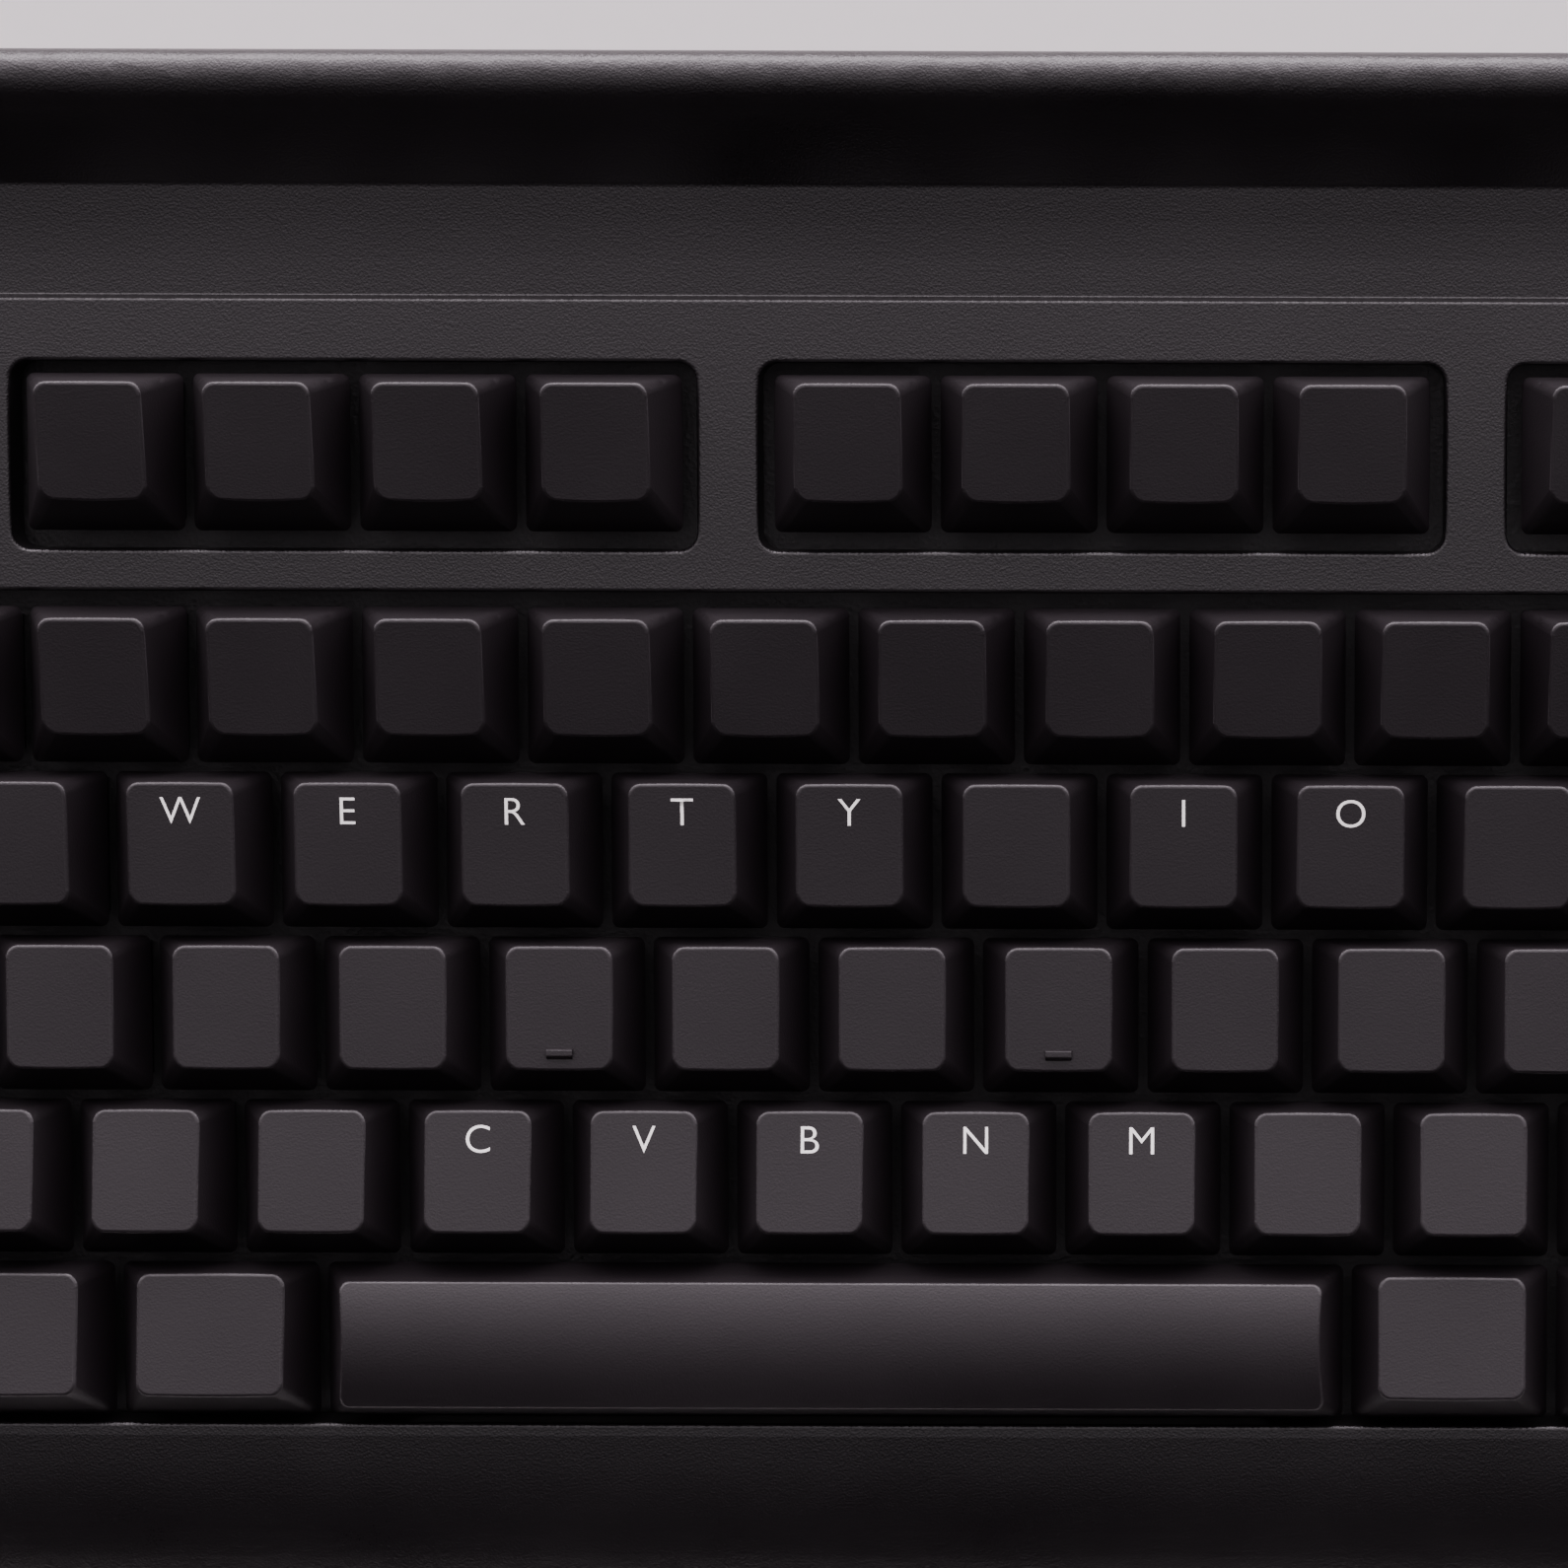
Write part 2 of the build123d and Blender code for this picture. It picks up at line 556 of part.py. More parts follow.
def build_bottom_case():
    body = plan(0, CASE_R, BOTTOM_Z, PART_Z)
    body = fillet([e for e in body.edges() if abs(e.center().Z - BOTTOM_Z) < 0.01], 1.8)
    body = body - plan(WALL, INNER_R, FLOOR_Z, PART_Z + 1)
    # lip that centres the upper shell
    lip = plan(1.35, CASE_R - 1.25, PART_Z - 1.5, PART_Z + 1.1)
    body = body + (lip - plan(WALL, INNER_R, PART_Z - 2, PART_Z + 3))
    # stiffening ribs on the floor
    rib_t, rib_z0, rib_z1 = 1.2, FLOOR_Z - 0.2, 5.6
    ribs = [
        block(2 * CASE_X - 12, rib_t, rib_z0, rib_z1, 0, y) for y in (-55.0, -25.0, 5.0, 35.0)
    ]
    ribs += [block(rib_t, 92.0, rib_z0, rib_z1, x, -10) for x in (-120.0, -60.0, 60.0, 120.0)]
    body = body + ribs
    # posts under the mounting plate, cut off inside the floor
    above_floor = block(400, 220, 3.0, 63.0)
    for x, v in PLATE_SCREWS:
        body = body + ((PLACE * post(3.2, -PLATE_T - 30, -PLATE_T, x, v)) & above_floor)
    for x, v in PLATE_SCREWS:
        body = body - PLACE * post(PILOT_R, -PLATE_T - 7.2, -PLATE_T, x, v)
    # folding-foot pockets: walls, roof, hinge bores
    for x in (-FOOT_X, FOOT_X):
        body = body + foot_pocket(x, 2.0, 2.5, 9.6)
        body = body - foot_pocket(x, 0.0, 0.0, 7.9)
        body = body - Pos(x, 0, 0) * x_rod(1.55, FOOT_W + 4.3, HINGE_Y, HINGE_Z)
    # seats of the pads
    for x, y in PAD_AT:
        body = body - Pos(x, y, 0) * extrude(SlotOverall(PAD_L + 0.4, PAD_W + 0.4), PAD_T + 0.05)
    # case screws: raised seats and stepped bores
    for x, y in CASE_SCREWS:
        body = body + post(4.8, 3.0, BOSS_Z, x, y)
    for x, y in CASE_SCREWS:
        body = body - post(3.1, 0.0, CASE_SEAT_Z, x, y) - post(1.7, 0.0, 6.0, x, y)
    # posts of the socket's board
    for x, y in USB_SCREWS:
        body = body + post(2.3, 3.0, USB_BOARD_Z, x, y)
        body = body - post(0.95, USB_Z - 9.0, USB_Z, x, y)
    return body


def build_foot(x):
    """folded foot: barrel on the hinge axis, flat leg towards the front, end lip"""
    # section of the leg as (y, z) from the hinge axis
    section_points = [
        (0.0, 2.4), (2.0 - FOOT_L, 2.4), (-FOOT_L, 0.6), (-FOOT_L, -2.6), (5.0 - FOOT_L, -2.6),
        (6.0 - FOOT_L, -1.0), (-3.0, -1.0), (-1.0, -2.4), (0.0, -2.4),
    ]
    leg = yz_face([(HINGE_Y + y, HINGE_Z + z) for y, z in section_points])
    foot = extrude(leg, FOOT_W / 2, both=True)
    foot = foot + x_rod(2.4, FOOT_W, HINGE_Y, HINGE_Z)
    # opening behind the end lip for a fingertip
    foot = foot - block(14.0, 6.0, 0, 12, 0, HINGE_Y - FOOT_L + 9.5)
    foot = foot + x_rod(1.5, FOOT_W + 4.0, HINGE_Y, HINGE_Z)     # hinge pins
    return Pos(x, 0, 0) * foot


# ------------------------------------------------------------------ internals
def build_plate():
    sheet = rounded(-183.0, 183.0, -55.4, 82.2, 3.0, 0)
    cuts = []
    for k in KEYS:
        cuts.append(Pos(k.x, k.v) * Rectangle(14.0, 14.0))
        dx = stab_offset(k.width)
        if dx:
            cuts += [Pos(k.x + side * dx, k.v) * Rectangle(6.8, 12.3) for side in (-1, 1)]
    cuts += [Pos(x, v) * Circle(1.6) for x, v in PLATE_SCREWS]
    return PLACE * Pos(0, 0, -PLATE_T) * extrude(sheet - cuts, PLATE_T)


def build_pcb():
    board = rounded(-176.0, 176.0, -47.6, 74.8, 2.0, 0)
    board = board + Pos(LED_X[1], 82.0) * Rectangle(34.0, 24.0)      # tongue under the lights
    cuts = []
    for k in KEYS:
        cuts.append(Pos(k.x, k.v) * Circle(2.0))
        cuts += [Pos(k.x + x, k.v + y) * Circle(0.8) for x, y in CONTACT_AT]
    return PLACE * Pos(0, 0, PCB_BOTTOM) * extrude(board - cuts, PCB_T)


def build_electronics():
    """controller with its leads, crystal and the cable header, under the board"""
    z, top = PCB_BOTTOM, PCB_BOTTOM - 0.02
    body = block(10.0, 10.0, z - 1.5, z - 0.15)
    leads = []
    for i in range(10):
        t = -4.05 + i * 0.9
        leads += [block(0.4, 12.0, z - 0.7, top, x=t), block(12.0, 0.4, z - 0.7, top, y=t)]
    chip = Pos(92.0, 51.6, 0) * (body + leads)
    crystal = block(4.6, 2.4, z - 1.2, top, 104.0, 51.6)
    header = block(11.0, 5.6, z - 4.6, top) - block(9.6, 4.4, z - 5.0, z - 1.0, y=0.8)
    return [PLACE * s for s in (chip, crystal, Pos(USB_X, HEADER_V, 0) * header)]


def build_led(x):
    r, dome_w = 1.5, PCB_TOP + 3.6
    led = post(r, PCB_TOP, dome_w) + Pos(0, 0, dome_w) * Sphere(r)
    led = led + post(1.9, PCB_TOP, PCB_TOP + 1.0)
    return PLACE * Pos(x, LED_V, 0) * led


def build_window():
    outline = RectangleRounded(2 * WINDOW_END + LED_SPAN, WINDOW_W, WINDOW_R)
    flange = RectangleRounded(2 * 7.4 + LED_SPAN, 6.8, 2.6)
    window = Pos(0, 0, 3.3) * extrude(outline, 2.65)
    window = window + Pos(0, 0, 2.4) * extrude(outline, 1.0)
    window = window + Pos(0, 0, 2.2) * extrude(flange, 0.8)
    return PLACE * Pos(LED_X[1], LED_V, 0) * window


def build_usb_socket():
    shell = Rot(90, 0, 0) * extrude(RectangleRounded(8.94, 3.2, 1.55), 7.3)
    bore = Rot(90, 0, 0) * extrude(RectangleRounded(8.34, 2.6, 1.28), 6.5)
    tongue = Box(6.7, 5.4, 0.7, align=(Align.CENTER, Align.MIN, Align.CENTER))
    return Pos(USB_X, CASE_REAR - 0.9, USB_Z) * (shell - bore + Pos(0, -6.9, 0) * tongue)


def build_usb_board():
    board = block(19.0, 12.6, USB_BOARD_Z, USB_Z - 1.62, USB_X, CASE_REAR - 9.4)
    for x, y in USB_SCREWS:
        board = board - post(1.1, 0, 40, x, y)
    return board


def screw(head_r, head_h, shank_r, length, drive):
    """pan-head screw with its head up, bearing face at z = 0"""
    body = post(head_r, 0, head_h)
    top = [e for e in body.edges() if abs(e.center().Z - head_h) < 0.01]
    body = fillet(top, head_h * 0.45)
    body = body + post(shank_r, -length, 0)
    return body - cross(head_h - 0.7, head_h + 1, drive, 0.6, 0.6)


def ribbon():
    """flat lead from the socket's board to the header under the main board"""
    header_y, header_z = to_row(HEADER_V, PCB_BOTTOM - 3.4)
    start_y, start_z = CASE_REAR - 15.4, USB_Z - 3.1
    stations = [
        (start_y, start_z),
        (start_y - 6, start_z - 1.5),
        (header_y + 16, 10.4),
        (header_y + 3, header_z - 3.6),
        (header_y, header_z - 0.3),
    ]
    path = Spline(*[Vector(USB_X, y, z) for y, z in stations])
    start = Plane(origin=path @ 0, z_dir=path % 0, x_dir=(1, 0, 0))
    return sweep(start * Rectangle(6.0, 0.8), path=path)


# -------------------------------------------------------------------- output
os.makedirs("parts", exist_ok=True)

# caps with their stems and sliders
stem = make_stem()
captive, fork = make_slider(True), make_slider(False)
groups = {}
for k in KEYS:
    cap = cap_for(ROWS[k.row][1], k.width, k.node in HOMING_KEYS)
    parts = [k.place * Pos(0, 0, CAP_W0) * cap, k.place * stem]
    dx = stab_offset(k.width)
    if dx:
        slider = captive if k.node == "space_bar" else fork
        parts += [k.place * Pos(side * dx, 0, 0) * slider for side in (-1, 1)]
    groups.setdefault(k.node, []).extend(parts)
for name, solids in groups.items():
    node(name, solids)

for name, pieces in (
    ("switch_lower_housings", [make_lower_housing()]),
    ("switch_upper_housings", [make_upper_housing()]),
    ("switch_springs", [make_spring()]),
    ("switch_contacts", make_contacts()),
):
    node(name, [k.place * piece for k in KEYS for piece in pieces])

wide = [k for k in KEYS if stab_offset(k.width)]
guide = make_stab_housing()
node("stabilizer_housings", [
    k.place * Pos(side * stab_offset(k.width), 0, 0) * guide for k in wide for side in (-1, 1)
])
node("small_stabilizer_wires", [
    k.place * make_wire(STAB_WIDE, 0.0) for k in wide if k.node != "space_bar"
])
node("space_bar_wire", [
    k.place * make_wire(STAB_SPACE, SPACE_ARM_ANGLE) for k in wide if k.node == "space_bar"
])

node("mounting_plate", [build_plate()])
node("circuit_board", [build_pcb()])
node("controller_electronics", build_electronics())
node("status_leds", [build_led(x) for x in LED_X])
node("status_window", [build_window()])
node("usb_socket", [build_usb_socket()])
node("usb_board", [build_usb_board()])
node("board_lead", [ribbon()])

small = screw(head_r=1.8, head_h=1.2, shank_r=0.9, length=5.0, drive=1.6)
node("usb_board_screws", [Pos(x, y, USB_Z - 1.6) * small for x, y in USB_SCREWS])
fixing = screw(head_r=2.65, head_h=1.5, shank_r=1.4, length=7.8, drive=2.7)
plate_fixings = [PLACE * Pos(x, v, SCREW_GAP) * fixing for x, v in PLATE_SCREWS]
case_fixings = [
    Pos(x, y, CASE_SEAT_Z - SCREW_GAP) * Rot(180, 0, 0) * fixing for x, y in CASE_SCREWS
]
node("case_and_plate_screws", plate_fixings + case_fixings)

node("rubber_pads", [Pos(x, y, 0) * extrude(SlotOverall(PAD_L, PAD_W), PAD_T) for x, y in PAD_AT])
node("left_foot", [build_foot(-FOOT_X)])
node("right_foot", [build_foot(FOOT_X)])
node("bottom_case", [build_bottom_case()])
node("top_case", [build_top_case()])
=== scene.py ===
import math
import bpy
import bmesh
from mathutils import Matrix, Vector, noise
from mathutils.bvhtree import BVHTree


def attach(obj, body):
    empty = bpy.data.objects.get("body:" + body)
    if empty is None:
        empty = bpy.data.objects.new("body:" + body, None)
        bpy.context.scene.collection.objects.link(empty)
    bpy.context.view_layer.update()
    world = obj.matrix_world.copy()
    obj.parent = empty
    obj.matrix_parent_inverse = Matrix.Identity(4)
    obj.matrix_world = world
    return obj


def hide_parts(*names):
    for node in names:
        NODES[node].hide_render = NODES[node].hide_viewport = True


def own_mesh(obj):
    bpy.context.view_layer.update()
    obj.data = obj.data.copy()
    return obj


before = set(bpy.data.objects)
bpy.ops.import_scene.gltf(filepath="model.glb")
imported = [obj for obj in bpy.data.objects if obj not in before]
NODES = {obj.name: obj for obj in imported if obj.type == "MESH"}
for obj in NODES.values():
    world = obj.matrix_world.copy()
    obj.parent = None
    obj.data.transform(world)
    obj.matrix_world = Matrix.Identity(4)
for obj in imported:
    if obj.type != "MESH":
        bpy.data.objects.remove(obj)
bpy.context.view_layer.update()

# ---------------------------------------------------------------- geometry of the key plane
MM = 0.001
U = 19.05
COLS = 18.25
TILT = math.radians(5.0)
Z0 = 19.0
Y0 = -(-71.4 + 110.6) / 2 * math.cos(TILT)
ROW_V = {"f": 2 * U + 26.7, "n": 2 * U, "q": U, "a": 0.0, "z": -U, "s": -2 * U}
NORMAL = Vector((0, -math.sin(TILT), math.cos(TILT)))
ALONG = Vector((0, math.cos(TILT), math.sin(TILT)))


def P(x, v, w):
    """key-frame point in millimetres to the row frame in metres"""
    c, s = math.cos(TILT), math.sin(TILT)
    return Vector((x, v * c - w * s + Y0, v * s + w * c + Z0)) * MM


def key_x(units):
    return (units - COLS / 2) * U


KEYS = []


def row(node, r, start, widths):
    x = start
    for w in widths:
        KEYS.append((node, r, x, w))
        x += w


row("escape_key", "f", 0, [1])
for start in (2, 6.5, 11):
    row("function_keys", "f", start, [1] * 4)
row("system_keys", "f", 15.25, [1] * 3)
row("number_keys", "n", 0, [1] * 13)
row("backspace_key", "n", 13, [2])
row("navigation_keys", "n", 15.25, [1] * 3)
row("left_modifier_keys", "q", 0, [1.5])
for i, c in enumerate("qwertyuiop"):
    row("key_" + c, "q", 1.5 + i, [1])
row("punctuation_keys", "q", 11.5, [1, 1, 1.5])
row("navigation_keys", "q", 15.25, [1] * 3)
row("left_modifier_keys", "a", 0, [1.75])
for i, c in enumerate("asdfghjkl"):
    row("key_" + c, "a", 1.75 + i, [1])
row("punctuation_keys", "a", 10.75, [1, 1])
row("enter_key", "a", 12.75, [2.25])
row("left_modifier_keys", "z", 0, [2.25])
for i, c in enumerate("zxcvbnm"):
    row("key_" + c, "z", 2.25 + i, [1])
row("punctuation_keys", "z", 9.25, [1, 1, 1])
row("right_modifier_keys", "z", 12.25, [2.75])
row("arrow_keys", "z", 16.25, [1])
row("left_modifier_keys", "s", 0, [1.25] * 3)
row("space_bar", "s", 3.75, [6.25])
row("right_modifier_keys", "s", 10, [1.25] * 4)
row("arrow_keys", "s", 15.25, [1] * 3)


# ---------------------------------------------------------------- materials
def new_mat(name):
    m = bpy.data.materials.new(name)
    m.use_nodes = True
    nt = m.node_tree
    for n in list(nt.nodes):
        nt.nodes.remove(n)
    out = nt.nodes.new("ShaderNodeOutputMaterial")
    b = nt.nodes.new("ShaderNodeBsdfPrincipled")
    nt.links.new(b.outputs[0], out.inputs[0])
    co = nt.nodes.new("ShaderNodeTexCoord")
    return m, nt, b, co


def tex(nt, co, scale, detail=3.0, rough=0.55, kind="noise", stretch=None):
    src = co.outputs["Object"]
    if stretch:
        mp = nt.nodes.new("ShaderNodeMapping")
        mp.inputs["Scale"].default_value = stretch
        nt.links.new(src, mp.inputs[0])
        src = mp.outputs[0]
    if kind == "voronoi":
        t = nt.nodes.new("ShaderNodeTexVoronoi")
        t.inputs["Scale"].default_value = scale
        nt.links.new(src, t.inputs["Vector"])
        return t.outputs["Distance"]
    t = nt.nodes.new("ShaderNodeTexNoise")
    t.inputs["Scale"].default_value = scale
    t.inputs["Detail"].default_value = detail
    t.inputs["Roughness"].default_value = rough
    nt.links.new(src, t.inputs["Vector"])
    return t.outputs["Fac"]


def remap(nt, fac, lo, hi, out_lo, out_hi):
    r = nt.nodes.new("ShaderNodeMapRange")
    r.inputs["From Min"].default_value = lo
    r.inputs["From Max"].default_value = hi
    r.inputs["To Min"].default_value = out_lo
    r.inputs["To Max"].default_value = out_hi
    nt.links.new(fac, r.inputs["Value"])
    return r.outputs[0]


def mix_col(nt, fac, a, b):
    m = nt.nodes.new("ShaderNodeMix")
    m.data_type = "RGBA"
    nt.links.new(fac, m.inputs["Factor"])
    m.inputs["A"].default_value = (*a, 1)
    m.inputs["B"].default_value = (*b, 1)
    return m.outputs["Result"]


def bump(nt, b, height, strength, distance, prev=None):
    n = nt.nodes.new("ShaderNodeBump")
    n.inputs["Strength"].default_value = strength
    n.inputs["Distance"].default_value = distance
    nt.links.new(height, n.inputs["Height"])
    if prev:
        nt.links.new(prev, n.inputs["Normal"])
    nt.links.new(n.outputs[0], b.inputs["Normal"])
    return n.outputs[0]


def plastic(name, dark, light, r0, r1, grain, grain_h, strength, spec=0.5, blotch=45.0, coat=0.0):
    """moulded plastic: grain at its own scale, slow changes of gloss from handling, a hint of dust in the colour"""
    m, nt, b, co = new_mat(name)
    slow = tex(nt, co, blotch, 4, 0.6)
    fine = tex(nt, co, grain, 2, 0.6)
    cell = tex(nt, co, grain * 0.75, kind="voronoi")
    both = nt.nodes.new("ShaderNodeMath")
    both.operation = "ADD"
    nt.links.new(fine, both.inputs[0])
    nt.links.new(cell, both.inputs[1])
    nt.links.new(mix_col(nt, remap(nt, slow, 0.3, 0.7, 0, 1), dark, light), b.inputs["Base Color"])
    rough = nt.nodes.new("ShaderNodeMath")
    rough.operation = "ADD"
    nt.links.new(remap(nt, slow, 0.3, 0.7, r0, r1), rough.inputs[0])
    nt.links.new(remap(nt, fine, 0.3, 0.7, -0.03, 0.03), rough.inputs[1])
    nt.links.new(rough.outputs[0], b.inputs["Roughness"])
    b.inputs["Specular IOR Level"].default_value = spec
    b.inputs["Coat Weight"].default_value = coat
    bump(nt, b, both.outputs[0], strength, grain_h)
    return m


def metal(name, col, r0, r1, stretch=(1, 1, 1), scale=900.0, strength=0.15):
    m, nt, b, co = new_mat(name)
    t = tex(nt, co, scale, 4, 0.6, stretch=stretch)
    slow = tex(nt, co, 60, 3, 0.5)
    nt.links.new(mix_col(nt, remap(nt, slow, 0.3, 0.7, 0, 1), col, tuple(c * 0.82 for c in col)), b.inputs["Base Color"])
    nt.links.new(remap(nt, t, 0.3, 0.7, r0, r1), b.inputs["Roughness"])
    b.inputs["Metallic"].default_value = 1.0
    bump(nt, b, t, strength, 0.00003)
    return m


CASE = plastic("case_plastic", (0.0046, 0.0036, 0.0043), (0.0062, 0.0050, 0.0058), 0.29, 0.35, 4600, 0.00004, 0.80, spec=0.66)
LOWER = plastic("case_plastic_lower", (0.0052, 0.0042, 0.0049), (0.0070, 0.0058, 0.0066), 0.38, 0.46, 4600, 0.00004, 0.8, spec=0.62)
CAP = plastic("keycap_plastic", (0.0092, 0.0072, 0.0086), (0.0122, 0.0097, 0.0114), 0.36, 0.44, 4800, 0.000028, 0.50, spec=0.54, blotch=26.0)
SWITCH = plastic("switch_black", (0.010, 0.010, 0.010), (0.014, 0.014, 0.014), 0.38, 0.5, 3000, 0.00003, 0.4)
RUBBER = plastic("rubber", (0.018, 0.018, 0.018), (0.030, 0.029, 0.028), 0.78, 0.9, 1800, 0.0001, 0.8, spec=0.35)
PLATE = plastic("plate_coat", (0.012, 0.012, 0.012), (0.018, 0.018, 0.018), 0.42, 0.55, 2200, 0.00005, 0.8, spec=0.5)
CHIP = plastic("component_black", (0.016, 0.016, 0.017), (0.024, 0.024, 0.025), 0.45, 0.6, 4000, 0.00003, 0.5)
LEAD = plastic("lead_black", (0.02, 0.02, 0.02), (0.03, 0.03, 0.03), 0.5, 0.62, 1500, 0.00005, 0.4)
PRINT_AND_GLOW = plastic("legend_print_painted_glow", (0.96, 0.95, 0.93), (0.99, 0.98, 0.96), 0.5, 0.6, 4200, 0.00002, 0.3)
# the white colour is the real print; the emission below is a painted glow that makes the legends brighter than the
# lamps alone light them
print_glow_bsdf = [n for n in PRINT_AND_GLOW.node_tree.nodes if n.type == "BSDF_PRINCIPLED"][0]
print_glow_bsdf.inputs["Emission Color"].default_value = (1.0, 0.96, 0.92, 1)
print_glow_bsdf.inputs["Emission Strength"].default_value = 0.30
ZINC = metal("zinc_steel", (0.56, 0.57, 0.60), 0.24, 0.42)
SPRING = metal("spring_steel", (0.62, 0.61, 0.60), 0.18, 0.32)
BRASS = metal("contact_brass", (0.72, 0.54, 0.24), 0.22, 0.36)
NICKEL = metal("socket_steel", (0.60, 0.60, 0.61), 0.22, 0.36, stretch=(1, 8, 1))

BOARD, nt, b, co = new_mat("board_laminate")
weave = tex(nt, co, 900, 2, 0.5, stretch=(1, 6, 1))
slow = tex(nt, co, 120, 3, 0.6)
nt.links.new(mix_col(nt, remap(nt, slow, 0.3, 0.7, 0, 1), (0.006, 0.040, 0.018), (0.010, 0.060, 0.026)), b.inputs["Base Color"])
nt.links.new(remap(nt, weave, 0.3, 0.7, 0.24, 0.36), b.inputs["Roughness"])
b.inputs["Coat Weight"].default_value = 0.5
bump(nt, b, weave, 0.25, 0.00003)

LEDS, nt, b, co = new_mat("led_resin")
fine = tex(nt, co, 1500, 2, 0.5)
nt.links.new(mix_col(nt, fine, (0.62, 0.66, 0.62), (0.74, 0.76, 0.72)), b.inputs["Base Color"])
nt.links.new(remap(nt, fine, 0.3, 0.7, 0.10, 0.2), b.inputs["Roughness"])
b.inputs["Transmission Weight"].default_value = 0.5

SMOKED, nt, b, co = new_mat("window_smoked")
fine = tex(nt, co, 1200, 3, 0.5)
nt.links.new(mix_col(nt, fine, (0.012, 0.011, 0.012), (0.020, 0.018, 0.020)), b.inputs["Base Color"])
nt.links.new(remap(nt, fine, 0.3, 0.7, 0.10, 0.17), b.inputs["Roughness"])
b.inputs["Coat Weight"].default_value = 0.4
bump(nt, b, fine, 0.1, 0.00002)

FINISH = {
    "top_case": CASE, "bottom_case": LOWER, "left_foot": LOWER, "right_foot": LOWER, "rubber_pads": RUBBER,
    "case_and_plate_screws": ZINC, "usb_board_screws": ZINC, "mounting_plate": PLATE, "circuit_board": BOARD, "usb_board": BOARD,
    "controller_electronics": CHIP, "status_leds": LEDS, "status_window": SMOKED,
    "switch_lower_housings": SWITCH, "switch_upper_housings": SWITCH, "stabilizer_housings": SWITCH,
    "switch_springs": SPRING, "switch_contacts": BRASS, "small_stabilizer_wires": SPRING, "space_bar_wire": SPRING,
    "usb_socket": NICKEL, "board_lead": LEAD,
}
for name, o in NODES.items():
    mat = FINISH.get(name, CAP)
    o.data.materials.clear()
    o.data.materials.append(mat)
    for p in o.data.polygons:
        p.material_index = 0


def link(name, mesh, mat):
    o = bpy.data.objects.new(name, mesh)
    bpy.context.scene.collection.objects.link(o)
    o.data.materials.append(mat)
    return o


# ---------------------------------------------------------------- legends
LETTERS = {"w": "q", "e": "q", "r": "q", "t": "q", "y": "q", "i": "q", "o": "q",
           "c": "z", "v": "z", "b": "z", "n": "z", "m": "z"}
TOP_REAR = {"q": (8.37, 8.6), "z": (8.62, 6.6)}


def glyph_mesh(ch, height):
    """outline of one capital letter, centred, height in millimetres"""
    c = bpy.data.curves.new("glyph_" + ch, "FONT")
    c.body = ch.upper()
    c.align_x, c.align_y = "CENTER", "CENTER"
    c.size = 1.0
    c.offset = -0.010
    c.resolution_u = 8
    o = bpy.data.objects.new("glyph_tmp_" + ch, c)
    bpy.context.scene.collection.objects.link(o)
    bpy.context.view_layer.update()
    dg = bpy.context.evaluated_depsgraph_get()
    me = bpy.data.meshes.new_from_object(o.evaluated_get(dg))
    bpy.data.objects.remove(o)
    bpy.data.curves.remove(c)
    xs = [v.co.x for v in me.vertices]
    ys = [v.co.y for v in me.vertices]
    cx, cy = (min(xs) + max(xs)) / 2, (min(ys) + max(ys)) / 2
    full = 0.729 if ch in "oc" else max(ys) - min(ys)
    s = height / (full if ch not in "oc" else (max(ys) - min(ys)) * 0.965)
    for v in me.vertices:
        v.co.x, v.co.y = (v.co.x - cx) * s, (v.co.y - cy) * s
    return me


for ch, r in LETTERS.items():
    node = "key_" + ch
    k = [q for q in KEYS if q[0] == node][0]
    x, v = key_x(k[2] + 0.5), ROW_V[r]
    yr, hr = TOP_REAR[r]
    me = glyph_mesh(ch, 3.05)
    bm = bmesh.new()
    bm.from_mesh(me)
    bmesh.ops.triangulate(bm, faces=bm.faces[:])
    bmesh.ops.subdivide_edges(bm, edges=[e for e in bm.edges if e.calc_length() > 0.5], cuts=3, use_grid_fill=True)
    bmesh.ops.triangulate(bm, faces=bm.faces[:])
    src = NODES[node]
    bv = BVHTree.FromPolygons([q.co for q in src.data.vertices], [p.vertices for p in src.data.polygons])
    for q in bm.verts:
        start = P(x + q.co.x, v + yr - 3.25 + q.co.y, 30.0)
        hit, nrm, _, _ = bv.ray_cast(start, -NORMAL)
        q.co = hit + NORMAL * 0.000018
    bm.to_mesh(me)
    bm.free()
    o = link("legend_" + ch, me, PRINT_AND_GLOW)
    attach(o, node)


# ---------------------------------------------------------------- homing bars, their crisp moulded edges
for node in ("key_f", "key_j"):
    k = [q for q in KEYS if q[0] == node][0]
    x, v = key_x(k[2] + 0.5), ROW_V[k[1]] - 3.6
    src = NODES[node]
    bv = BVHTree.FromPolygons([q.co for q in src.data.vertices], [p.vertices for p in src.data.polygons])
    hit = bv.ray_cast(P(x + 2.3, v, 30.0), -NORMAL)[0]
    seat = (hit - P(0, 0, 0)).dot(NORMAL) / MM
    section = [(0.46, -0.12), (0.37, 0.50), (-0.32, 0.54), (-0.86, -0.12)]
    pts = [P(x + sx, v + a, seat + h) for sx in (-1.52, 1.52) for a, h in section]
    me = bpy.data.meshes.new("homing_bar")
    me.from_pydata([tuple(q) for q in pts], [], [(0, 1, 2, 3), (7, 6, 5, 4), (0, 4, 5, 1), (1, 5, 6, 2), (2, 6, 7, 3), (3, 7, 4, 0)])
    bm = bmesh.new()
    bm.from_mesh(me)
    bmesh.ops.recalc_face_normals(bm, faces=bm.faces[:])
    bmesh.ops.bevel(bm, geom=bm.edges[:], offset=0.00009, segments=2, profile=0.5, affect="EDGES")
    bm.to_mesh(me)
    bm.free()
    o = link("homing_bar_" + node[-1], me, CAP)
    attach(o, node)

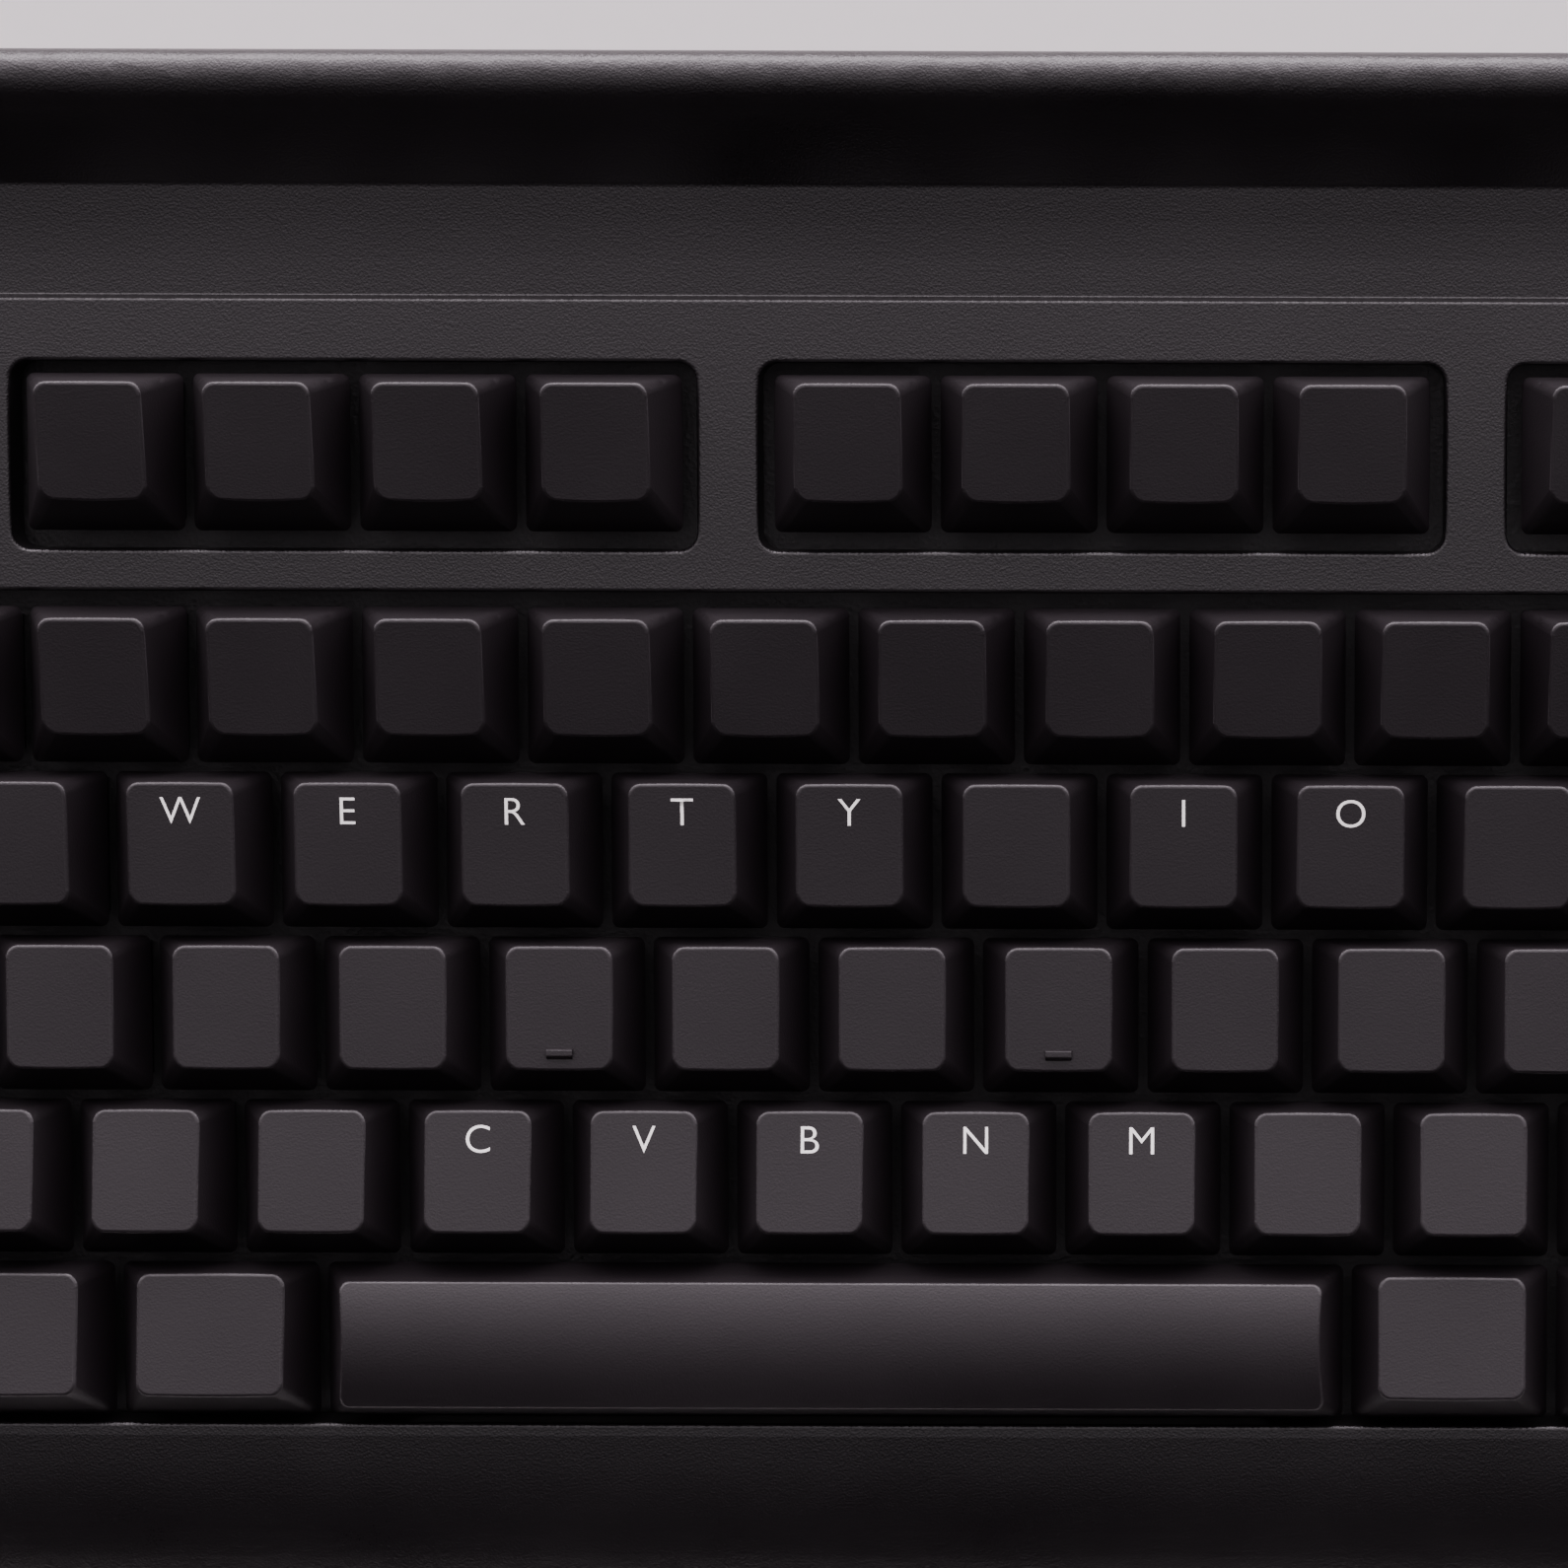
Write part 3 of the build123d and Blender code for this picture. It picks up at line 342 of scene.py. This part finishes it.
# ---------------------------------------------------------------- coil springs
def coils(places, turns=9, radius=1.68, wire=0.17, z0=-3.72, z1=4.9, seg=14, ring=6):
    verts, faces = [], []
    steps = []
    n = turns * seg
    for i in range(n + 1):
        t = i / n
        # closed end coils: the pitch is tight for the first and last turn
        a = 2 * math.pi * turns * t
        e = 1.0 / turns
        if t < e:
            h = t / e * 0.045
        elif t > 1 - e:
            h = 1 - (1 - t) / e * 0.045
        else:
            h = 0.045 + (t - e) / (1 - 2 * e) * 0.91
        steps.append((radius * math.cos(a), radius * math.sin(a), z0 + (z1 - z0) * h, a))
    for x, v in places:
        base = len(verts)
        for (cx, cy, cz, a) in steps:
            for j in range(ring):
                b_ = 2 * math.pi * j / ring
                rr = wire * math.cos(b_)
                verts.append(P(x + cx + rr * math.cos(a), v + cy + rr * math.sin(a), cz + wire * math.sin(b_)))
        for i in range(n):
            for j in range(ring):
                q = base + i * ring
                faces.append((q + j, q + (j + 1) % ring, q + ring + (j + 1) % ring, q + ring + j))
        faces.append(tuple(base + j for j in range(ring))[::-1])
        faces.append(tuple(base + n * ring + j for j in range(ring)))
    me = bpy.data.meshes.new("coils")
    me.from_pydata([tuple(p) for p in verts], [], faces)
    me.update()
    for p in me.polygons:
        p.use_smooth = len(p.vertices) == 4
    return me


by_node = {}
for k in KEYS:
    by_node.setdefault(k[0], []).append((key_x(k[2] + k[3] / 2), ROW_V[k[1]]))
first = True
for node, places in by_node.items():
    o = link("spring_" + node, coils(places), SPRING)
    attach(o, "chassis")
    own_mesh(o)
    if first:
        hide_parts("switch_springs")
        first = False

# ---------------------------------------------------------------- stage: floor, light, camera
SKY_ZENITH, SKY_SLOPE, SKY_TOP = 0.84, 1.95, 14.0
FRONT_FROM, FRONT_FALL = -0.40, 2.4
me = bpy.data.meshes.new("floor")
me.from_pydata([(-3, -3, 0), (3, -3, 0), (3, 3, 0), (-3, 3, 0)], [], [(0, 1, 2, 3)])
FLOOR, nt, b, co = new_mat("floor_pale")
grain = tex(nt, co, 300, 3, 0.5)
nt.links.new(mix_col(nt, grain, (0.74, 0.72, 0.71), (0.77, 0.75, 0.74)), b.inputs["Base Color"])
b.inputs["Roughness"].default_value = 0.85
b.inputs["Specular IOR Level"].default_value = 0.1
floor = link("floor", me, FLOOR)

world = bpy.data.worlds.new("studio")
bpy.context.scene.world = world
world.use_nodes = True
nt = world.node_tree
for n in list(nt.nodes):
    nt.nodes.remove(n)
out = nt.nodes.new("ShaderNodeOutputWorld")
geo = nt.nodes.new("ShaderNodeTexCoord")
sep = nt.nodes.new("ShaderNodeSeparateXYZ")
nt.links.new(geo.outputs["Generated"], sep.inputs[0])


def math_node(op, a, b=None):
    n = nt.nodes.new("ShaderNodeMath")
    n.operation = op
    for i, v in enumerate((a, b)):
        if v is None:
            continue
        if isinstance(v, (int, float)):
            n.inputs[i].default_value = v
        else:
            nt.links.new(v, n.inputs[i])
    return n.outputs[0]


# one large soft source behind the keyboard: the sky brightens from the front over the zenith to the rear
angle = math_node("ARCTAN2", sep.outputs["Y"], math_node("MAXIMUM", sep.outputs["Z"], 0.001))
low = math_node("MULTIPLY", math_node("MINIMUM", math_node("SUBTRACT", angle, FRONT_FROM), 0.0), FRONT_FALL)
level = math_node("MULTIPLY", math_node("EXPONENT", math_node("ADD", math_node("MULTIPLY", angle, SKY_SLOPE), low)), SKY_ZENITH)
level = math_node("MINIMUM", level, SKY_TOP)
side = math_node("SUBTRACT", 1.0, math_node("MULTIPLY", math_node("POWER", math_node("ABSOLUTE", sep.outputs["X"]), 2.0), 0.45))
level = math_node("MULTIPLY", level, side)
sky = nt.nodes.new("ShaderNodeBackground")
sky.inputs["Color"].default_value = (1.0, 0.90, 0.975, 1)
nt.links.new(level, sky.inputs["Strength"])
back = nt.nodes.new("ShaderNodeBackground")
back.inputs["Color"].default_value = (0.62, 0.60, 0.61, 1)
path = nt.nodes.new("ShaderNodeLightPath")
mixer = nt.nodes.new("ShaderNodeMixShader")
nt.links.new(path.outputs["Is Camera Ray"], mixer.inputs[0])
nt.links.new(sky.outputs[0], mixer.inputs[1])
nt.links.new(back.outputs[0], mixer.inputs[2])
nt.links.new(mixer.outputs[0], out.inputs[0])

cam_data = bpy.data.cameras.new("camera")
cam = bpy.data.objects.new("camera", cam_data)
bpy.context.scene.collection.objects.link(cam)
F_PX = 5187.0
cam_data.sensor_fit = "HORIZONTAL"
cam_data.sensor_width = 36.0
cam_data.lens = F_PX / 1590.0 * 36.0
cam_data.shift_x = (795.0 - 1268.0) / 1590.0
cam_data.shift_y = (842.0 - 795.0) / 1590.0
cam_data.clip_start, cam_data.clip_end = 0.01, 20
cam.location = (key_x(9.4) * MM, 0.0014, 0.618)
cam.rotation_euler = (0, 0, math.radians(0.17))
bpy.context.scene.camera = cam

# the lens shift belongs to the close view from straight above only: it fades out as the camera moves away from the object
for channel in ("shift_x", "shift_y"):
    amount = getattr(cam_data, channel)
    curve = cam_data.driver_add(channel)
    for m in list(curve.modifiers):
        curve.modifiers.remove(m)
    curve.driver.type = "AVERAGE"
    var = curve.driver.variables.new()
    var.type = "LOC_DIFF"
    var.targets[0].id, var.targets[1].id = cam, floor
    curve.keyframe_points.add(4)
    for point, (far, value) in zip(curve.keyframe_points, ((0.0, amount), (0.70, amount), (0.90, 0.0), (10.0, 0.0))):
        point.co = (far, value)
        point.interpolation = "LINEAR"
    curve.update()
